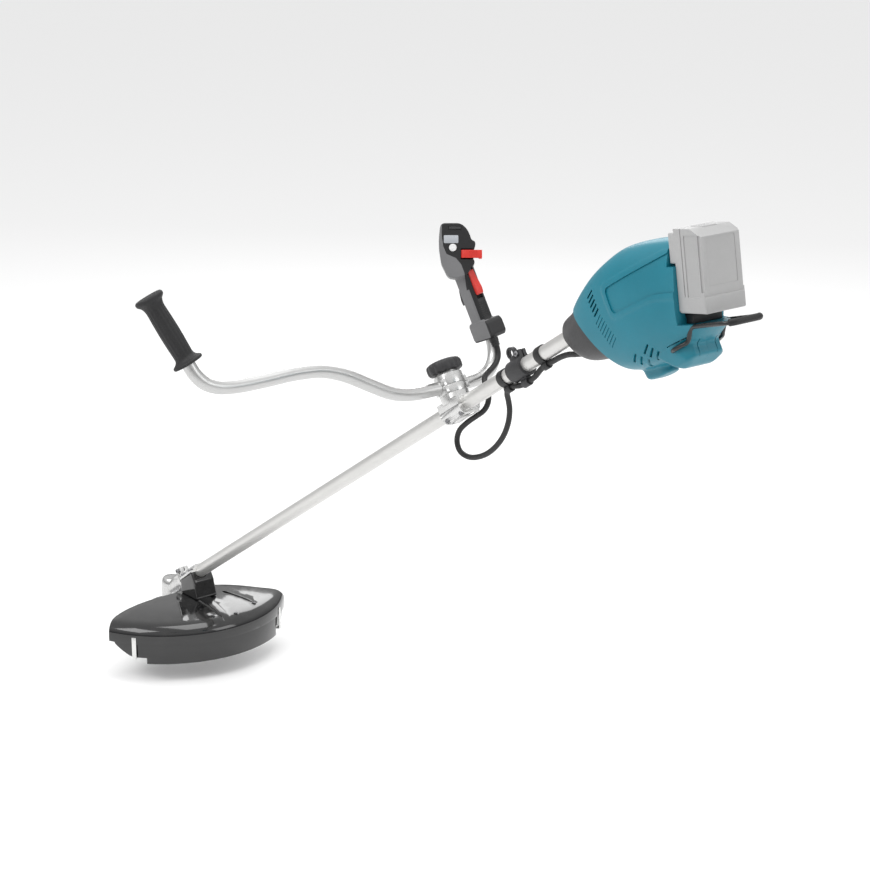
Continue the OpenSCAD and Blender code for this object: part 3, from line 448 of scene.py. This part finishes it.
for k in range(3): cut(hs, slot_cut(503 + k * 6.2, -94.5 - k * 7.2, 18, 3.2, -27))
# fine ribs under the vent column: shallow grooves
for k in range(8):
    x = 471.5 + k * 1.9; z = -17 - k * 6.1
    g = box(x - 11, x + 9, -120, 120, z - 0.9, z + 0.9); turn(g, tr(x, 0, z) @ ry(-27) @ tr(-x, 0, -z))
    cut(g, loft(SHELL, 96, 5, -1.0)); cut(hs, g)
# panel break lines round the shell and on the rear block
for z0 in (-104, ):
    g = box(569, 612, -60, 60, z0 - 0.7, z0 + 0.7); cut(g, rear_block(0.9)); cut(hs, g)
for yy in (-18, 18):
    g = box(588, 612, yy - 0.7, yy + 0.7, -133, -96); cut(g, rear_block(0.9)); cut(hs, g)
for s in (-1, 1):   # a cylinder at the bumper wire entry, not joined or cut; it is removed below
    a = cyl(8.0, 0, 1, "y", (577, 0, -112), 40)
for node, lo, hi in (("housing_left", -130, -0.12), ("housing_right", 0.12, 130)):
    o = copy(hs); boolean(o, box(300, 800, lo, hi, -300, 300), "INTERSECT")
    if node == "housing_left": first = o
    done(o, node + "_look", S, "root", "teal", [node], 32)
bpy.data.objects.remove(hs)
for o in [o for o in bpy.data.objects if o.name.startswith("c") and o.type == "MESH" and o.parent is None and o.name.split(".")[0] == "c"]: bpy.data.objects.remove(o)

# front cone
CONE = [[338, 25, 20, -25, 2.1], [345, 30, 25, -33, 2.2], [356, 36, 27, -46, 2.2], [374, 44, 28, -57, 2.3], [400, 51, 34, -64, 2.4], [425, 56, 44, -68, 2.5], [465, 60, 56, -72, 2.6]]
c = loft(CONE, 96, 6)
cut(c, behind(-0.5))
cut(c, cyl(12.9, 330, 480, "x"), cyl(5.7, 330, 366, "x", (0, 0, -34.6)))
c2 = loft([[s[0] + 6] + s[1:] for s in CONE], 96, 6, -4); boolean(c2, box(346, 480, -90, 90, -90, 90), "INTERSECT"); cut(c, c2)
# collar round the tube
join(c, cut(cyl(16.2, 331, 344, "x", n=72, r2=19), cyl(12.75, 330, 345, "x", n=72)))
bevel(c, 1.2, 3, 40)
done(c, "front_cone_look", S, "root", "grey", ["front_cone"], 40)

# ------------------------------------------------------------------ battery
def rbox(x0, x1, y0, y1, z0, z1, r=3.0, seg=3):
    o = box(x0, x1, y0, y1, z0, z1); return bevel(o, r, seg, 30)
bc = box(591, 645, -40.5, 40.5, 186, 306)
cut(bc, turn(box(0, 40, -60, 60, 0, 40), tr(625, 0, 306) @ ry(30)))            # sloped rear top edge
for s in (-1, 1):
    cut(bc, prism(rounded([(611, 192), (637, 192), (637, 296), (611, 296)], 3, 4), "y", s * 39.4 if s > 0 else -50, 50 if s > 0 else -39.4))   # bare label recess
    cut(bc, box(604.5, 606.0, s * 39.2 if s > 0 else -50, 50 if s > 0 else -39.2, 180, 310))   # case joint line
    cut(bc, box(639.5, 700, s * 38.6 if s > 0 else -50, 50 if s > 0 else -38.6, 214, 296))     # side step at the rear face
cut(bc, prism(rounded([(-29, 222), (29, 222), (29, 292), (-29, 292)], 3, 4), "x", 644.2, 700))
bevel(bc, 1.6, 3, 35)
foot = box(591, 647, -40.5, 40.5, 183, 208); bevel(foot, 2.6, 3, 30); join(bc, foot)
hd = box(579, 600, -40.5, 40.5, 255, 300); bevel(hd, 2.2, 3, 30); join(bc, hd)
rl = box(573, 600, -28.5, 28.5, 182.2, 256); bevel(rl, 1.2, 2, 30); join(bc, rl)
for s in (-1, 1): cut(bc, box(582, 586.5, s * 28.5 - 3, s * 28.5 + 3, 170, 252))
cut(bc, box(595, 643.5, -37.5, 37.5, 187.5, 290), box(600, 626, -14.4, 14.4, 288, 330))
for s in (-1, 0, 1):
    cut(bc, box(597, 640, s * 11 - 0.9, s * 11 + 0.9, 181, 184.0))
done(bc, "battery_case_look", B, "battery", "pack", ["battery_case"], 35)
br = box(600.4, 625.6, -14.0, 14.0, 299, 307.0); bevel(br, 1.6, 3, 30)
for k in range(4): cut(br, box(604 + k * 4.6, 605.6 + k * 4.6, -11, 11, 306.2, 310))
done(br, "battery_release_look", B, "release", "pack", ["battery_release"], 35)

# bumper wire
ROD = [[568, -38, -112], [580, -44, -112], [592, -41, -111.5], [601, -37, -111], [606, -35, -108], [612, -35, -102], [618, -35, -97], [624, -35, -95], [632, -35, -97], [660, -35, -105.5], [682, -35, -112.5], [691, -32, -115.5], [696, -25, -117], [698, -15, -117.5],
  [698, 15, -117.5], [696, 25, -117], [691, 32, -115.5], [682, 35, -112.5], [660, 35, -105.5], [632, 35, -97], [624, 35, -95], [618, 35, -97], [612, 35, -102], [606, 35, -108], [601, 37, -111], [592, 41, -111.5], [580, 44, -112], [568, 38, -112]]
P, _ = resample(cr(ROD, 8), 1.6)
done(sweep(P, 3.4, 22), "bumper_rod_look", S, "root", "rod", ["bumper_rod"], 50)
P, t = resample(cr(ROD[11:17], 10), 1.0)
q = np.clip(np.minimum(t, t[-1] - t) / 3.0, 0, 1)
done(sweep(P, 3.9 + 1.5 * np.sqrt(1 - (1 - q) ** 2), 26, inner=None), "bumper_sleeve_look", S, "root", "cable", ["bumper_sleeve"], 50)

# ------------------------------------------------------------------ cable: one sleeve from the grip gland to the motor cone
UP = [[27.4, 98.3, 90.8], [26.7, 98.9, 86.9], [26, 99.5, 83], [24.3, 100.4, 75], [22.4, 98, 65], [21.4, 90, 55.5], [21, 78, 48], [22, 66, 42], [27, 55, 37], [32, 46.5, 31], [35, 42.5, 26.5], [36, 41, 23]]
LOW = [[36, 41, 16], [36.6, 39.5, 8], [36.5, 37, -3], [31, 33, -13.5], [20, 29, -20], [2, 25, -22], [-22, 22, -24], [-46, 20, -29], [-61, 19, -42],
  [-62, 18, -60], [-48, 18, -75], [-26, 18, -84], [4, 18, -88], [34, 18, -85], [62, 18, -76], [86, 17, -62], [103, 15, -46],
  [114, 11, -32], [124, 5, -23], [136, 1, -19], [150, 0, -18.3], [170, 0, -24], [190, 0, -25.5], [212, 0, -24], [236, 0, -18.3], [262, 0, -18.3],
  [284, 0, -19], [304, 0, -22], [322, 0, -28], [338, 0, -33], [352, 0, -35]]
P, t = resample(cr(UP + LOW, 8), 1.25)
o = sweep(P, 4.72 + 0.12 * np.cos(2 * np.pi * t / 3.75), 18)
o.name = o.data.name = "control_cable"; shade(o, 60); o.data.transform(S); o.data.materials.clear(); o.data.materials.append(M["cable"])
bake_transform(o)
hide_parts("cable_upper", "cable_lower")

# ------------------------------------------------------------------ handlebar and left grip
BG = [[516, 205], [496, 155], [485, 122], [477, 102], [464, 87], [445, 78], [425, 74], [397, 72], [353, 72], [308, 73],
  [278, 72], [249, 69], [221, 61], [194, 49], [161, 30], [128, 12], [99, 3], [69, 0], [30, 0], [0, 0], [-30, 0],
  [-62, 3], [-87, 13], [-103, 33], [-108, 58], [-107.3, 72], [-107, 84], [-106, 94]]
sl_, cl_ = math.sin(math.radians(LN)), math.cos(math.radians(LN))
P, _ = resample(cr([(p[1] * sl_, -p[0], 38 + p[1] * cl_) for p in BG], 8), 2.5)
done(sweep(P, 11.0, 36, inner=2.0), "handlebar_look", S, "bar", "bar", ["handlebar"], 50)
prof = [(0, 24.0, 0), (1.2, 24.9, 0), (2.6, 25, 0), (4.4, 24.4, 0), (6, 22, 0), (8, 19, 0), (11, 16.8, 0.1), (14, 15.9, 0.4), (20, 15.9, 1), (40, 16.6, 1), (60, 16.8, 1), (80, 16.4, 1), (96, 15.9, 1), (102, 16.4, 0.4),
  (108, 18.3, 0.05), (111, 21, 0), (113.5, 23.2, 0), (116, 24, 0), (118.5, 23.7, 0), (120.4, 22, 0), (121, 19, 0), (121, 8, 0), (121, 0.5, 0)]
pz = cr([(a, b, c_) for a, b, c_ in prof], 3); rings = []
for z, r, f in pz:
    rings.append([((r - 0.55 * max(0, min(1, f)) * (0.5 - 0.5 * math.cos(16 * a))) * math.cos(a), (r - 0.55 * max(0, min(1, f)) * (0.5 - 0.5 * math.cos(16 * a))) * math.sin(a), z) for a in [2 * math.pi * k / 128 for k in range(128)]])
lg = loop_solid(rings); cut(lg, cyl(11.6, -2, 116, n=64))
done(lg, "left_grip_look", L, "bar", "rubber", ["left_grip"], 50)

# ------------------------------------------------------------------ control grip
HO = [(-37.2, 29), (-35.5, 34.5), (-31, 36.9), (-5, 36.9), (2, 33.5), (8.5, 26.8), (13, 18), (15.7, 9), (21.5, 6.5), (22.8, 2.5), (21.6, -4), (19, -7.5),
    (19, -23), (22, -29), (13.6, -42.3), (8, -50), (-9.8, -56.4), (-21, -54.5), (-25.3, -50), (-34.9, -30.2), (-38.5, -6), (-38.9, 10)]
hd_ = turn(prism(rounded(HO, 3, 3), "y", -19, 25), TF)
hn = box(-15.5, 19, -15, 15, 10, 124); boolean(hn, cyl(18.4, 5, 130, "z", (1.5, 0, 0), 72), "INTERSECT")
ft = prism(rounded([(-12, -12), (30, -12), (35.5, -6), (35.5, 13), (31, 20.5), (-11, 22), (-15.5, 17), (-15.5, -7)], 2.2, 3), "y", -19, 15.5)
gb = ft; join(gb, hn, hd_)
gb = remesh(gb, 1.05, 9, 0.6)
hc = prism([(u * 0.84 - 1, v * 0.86 - 1.5) for u, v in HO], "y", -14, 20)
cut(gb, turn(hc, TF), box(-10, 13, -9.5, 9.5, 10, 118), box(-12, 31, -15.5, 12.5, -8, 17),
    box(-40, -8, -6.5, 6.5, 44, 112), box(11, 50, -6.5, 6.5, 58, 112), cyl(12.2, -20, 14, "z", (10.1, -0.6, 0), 64), cyl(6.2, -20, 6, "z", (28, -12, 0)),
    turn(box(-2.2, 40, -30, -4, -24, -5.8), TF), turn(cyl(6.7, -30, -10, "y", (-15.4, 0, -4.4)), TF), turn(box(-22.6, -1.4, -30, -10, 25.6, 31.2), TF))
cut(gb, turn(prism(rounded([(-31, 2.6), (-5.6, 2.6), (-5.6, 16.8), (-31, 16.8)], 2, 3), "y", -30, -17.6), TF))
for k in range(7):   # finger ribs on the rear of the handle
    cut(gb, box(17.0, 30, -12, 12, 28 + k * 3.6, 29.2 + k * 3.6))
cut(gb, box(-60, 60, -40, -19.3, 16.6, 17.6))
# soft grey parts: front edge and lower end of the head, and the front strip of the handle
sf = prism([(-60, -90), (-60, 60), (-34.2, 60), (-34, 16), (-31.5, -2), (-26, -15), (-10, -22), (-1, -33), (4, -47), (10, -90)], "y", -60, 14); turn(sf, TF)
s2 = prism([(-60, -9.5), (-60, 120), (14.5, 120), (14.5, 23), (31, 21), (31, -9.5)], "y", -60, -8.5)
boolean(sf, box(-200, 200, -200, 200, 78, 400), "INTERSECT"); boolean(s2, box(-200, 200, -200, 200, -60, 78), "INTERSECT"); join(sf, s2)
lft = copy(gb); boolean(lft, sf, "INTERSECT", keep=True)
rest = copy(gb); cut(rest, sf)
done(lft, "grip_soft_side", H, "bar", "softgrey", ["grip_shell_inner"], 40)
done(rest, "grip_black_side", H, "bar", "black", ["grip_shell_outer"], 40)
bpy.data.objects.remove(gb)
dw = prism(rounded([(-30.6, 3.0), (-6.0, 3.0), (-6.0, 16.4), (-30.6, 16.4)], 2.0, 4), "y", -19.2, -17.8); bevel(dw, 0.4, 2, 30)
done(dw, "display_window_look", F, "bar", "lens", ["display_window"], 40)
pb = cyl(6.3, -20.3, -16.2, "y", (-15.4, 0, -4.4), 64); bevel(pb, 0.7, 3, 40)
ring = cut(cyl(3.4, -21, -20.0, "y", (-15.4, 0, -4.4), 48), cyl(2.5, -22, -19.5, "y", (-15.4, 0, -4.4), 48), box(-16.2, -14.6, -22, -19, -3.9, 2)); cut(pb, ring)
done(pb, "power_button_look", F, "power", "white", ["power_button"], 40)
mb = box(-22.1, -1.9, -20.2, -16.2, 26.1, 30.7); bevel(mb, 0.9, 3, 40)
done(mb, "mode_button_look", F, "mode", "grey", ["mode_button"], 40)
tl = box(4, 33.5, -22, -10, -21.5, -8.3); join(tl, cyl(5.8, -21.5, -8.3, "z", (4, -16, 0), 48)); bevel(tl, 1.6, 3, 30)
t2 = box(27.5, 33.5, -22, -8, -22.8, -19); bevel(t2, 1.5, 3, 30); join(tl, t2)
for k in range(5): cut(tl, box(12 + k * 3.0, 13.2 + k * 3.0, -23, -21.4, -19.5, -10.3))
done(tl, "thumb_lever_look", F, "thumb", "red", ["thumb_lever"], 40)
lo_ = prism(rounded([(12, 108), (20, 108), (21, 98), (26, 76), (25, 66), (20, 64), (16, 80), (13, 98)], 2.0, 4), "y", -6, 6); join(lo_, cyl(4, -6, 6, "y", (15, 0, 105))); bevel(lo_, 1.2, 3, 40)
done(lo_, "lock_off_look", H, "lock_off", "red", ["lock_off_lever"], 40)
tg = prism(rounded([(-12, 106), (-14, 96), (-22, 80), (-26, 64), (-25, 54), (-21, 57), (-17, 72), (-9.5, 88), (-6, 104)], 2.0, 4), "y", -6, 6); join(tg, cyl(4, -6, 6, "y", (-9, 0, 104))); bevel(tg, 0.9, 3, 40)
done(tg, "throttle_look", H, "throttle", "black", ["throttle_trigger"], 40)
gl = revolve([(4.85, -26), (6.4, -26), (6.9, -25.2), (6.9, -24), (6.4, -23.4), (6.4, -22.6), (7.2, -22), (7.2, -20.6), (6.7, -20), (6.7, -19.2), (7.5, -18.6), (7.5, -12.4), (6.0, -12.2), (6.0, -8), (4.85, -8)], 64)
turn(gl, tr(28, -12, 0)); done(gl, "grip_gland_look", H, "bar", "cable", ["grip_gland"], 40)

# ------------------------------------------------------------------ clamp knob
R0 = 30.5; rings = []
for z, r, d in ((62, 24, 0), (62.6, 27.2, .3), (64, 29.2, .8), (66, 30.2, 1), (70, 30.5, 1), (75, 30.5, 1), (77.6, 30, 1), (79.6, 28.6, .8), (80.9, 26.4, .4), (81.6, 24, 0), (82, 20, 0), (81.8, 12, 0), (81.2, 6, 0), (81.2, 1, 0)):
    rings.append([((r - 1.9 * d * (0.5 - 0.5 * math.cos(12 * a)) ** 2) * math.cos(a), (r - 1.9 * d * (0.5 - 0.5 * math.cos(12 * a)) ** 2) * math.sin(a), z) for a in [2 * math.pi * k / 144 for k in range(144)]])
kb = loop_solid(rings); join(kb, cyl(4.2, 52, 64, "z"))
done(kb, "clamp_knob_look", S, "knob", "grey", ["clamp_knob"], 35)

# ------------------------------------------------------------------ guard
GP = cr([(30, 19), (80, 18.6), (120, 17), (155, 13.6), (190, 8), (208, 3.4), (218.5, -3.6), (223.6, -11), (225, -18), (225, -26), (225, -32)], 4)
GI = cr([(222, -32), (222, -20), (220.4, -12), (215.5, -5.6), (206, -0.4), (189, 4.8), (154, 10.4), (120, 13.8), (80, 15.6), (30, 16)], 4)
gd = revolve([tuple(p) for p in GP] + [tuple(p) for p in GI], 256)
plan = rounded([(66, -24), (66, -110), (70, -155), (77, -183), (90, -203), (112, -222), (130, -240), (300, -240), (300, 210), (150, 190), (148, 172), (130, 128), (84, 66), (60, 24)], [6, 40, 30, 20, 10, 8, 4, 5, 5, 5, 26, 40, 40, 6], 8)
boolean(gd, prism(plan, "z", -40, 30), "INTERSECT")
def gz(r): return float(np.interp(r, GP[:, 0], GP[:, 1]))
def spine(a, w0, w1, r0, r1, h, sink=2.0):
    rr = np.linspace(r0, r1, 24); rings = []
    for i, r in enumerate(rr):
        k = i / 23; w_ = w0 * (1 - k) + w1 * k; hh = h * min(1, (1 - k) * 5, k * 8 + 0.35); z = gz(r)
        rings.append([(r, -w_, z - sink), (r, w_, z - sink), (r, w_ * 0.82, z + hh * 0.75), (r, w_ * 0.6, z + hh), (r, -w_ * 0.6, z + hh), (r, -w_ * 0.82, z + hh * 0.75)])
    o = loop_solid(rings); return turn(o, rz(a))
for sp in (spine(-3, 17, 9, 112, 214, 3.2), spine(-27, 1.8, 1.2, 122, 196, 2.2), spine(22, 1.8, 1.2, 122, 196, 2.2)):
    join(gd, sp)
for a, r in ((-9, 196), (4, 205), (21, 198)):   # screw bosses on the dome
    z = gz(r); b_ = cyl(4.2, z - 2.5, z + 2.0, "z", (r, 0, 0), 32, 3.4); join(gd, turn(b_, rz(a)))
bevel(gd, 0.8, 2, 42)
done(gd, "guard_body_look", G, "root", "gloss", ["guard_body"], 42)
for a, r, i in ((-9, 196, 0), (4, 205, 1), (21, 198, 2)):
    z = gz(r); sc = cyl(2.4, z + 1.0, z + 2.7, "z", (r, 0, 0), 32); cut(sc, cyl(1.3, z + 1.9, z + 4, "z", (r, 0, 0), 6)); turn(sc, rz(a)); bevel(sc, 0.25, 2, 40)
    done(sc, "guard_dome_screw_%d" % i, G, "root", "dzinc", (), 40)

# everything else keeps its CAD shape with rounded edges
for n, wd in (("clamp_base", 1.4), ("clamp_cap", 1.4), ("bar_clamp_lower", 1.2), ("bar_clamp_upper", 1.2), ("gear_case", 0.8), ("guard_clamp_cap", 0.8),
              ("guard_skirt", 0.8), ("guard_clips", 0.3), ("hanger_band", 0.8), ("cable_holders", 0.8), ("battery_seat", 1.0), ("receive_washer", 0.5), ("head_housing", 0.6), ("head_cover", 0.6),
              ("tap_knob", 0.6), ("guard_screws", 0.35), ("clamp_screws", 0.35), ("gear_case_screws", 0.35), ("hanger_screw", 0.35), ("line_blade", 0.2)):
    from_cad(n, wd, 2 if wd < 1 else 3)
from_cad("guard_bracket", 0, material="gloss", extra=lambda o: remesh(o, 1.3, 16, 0.6))
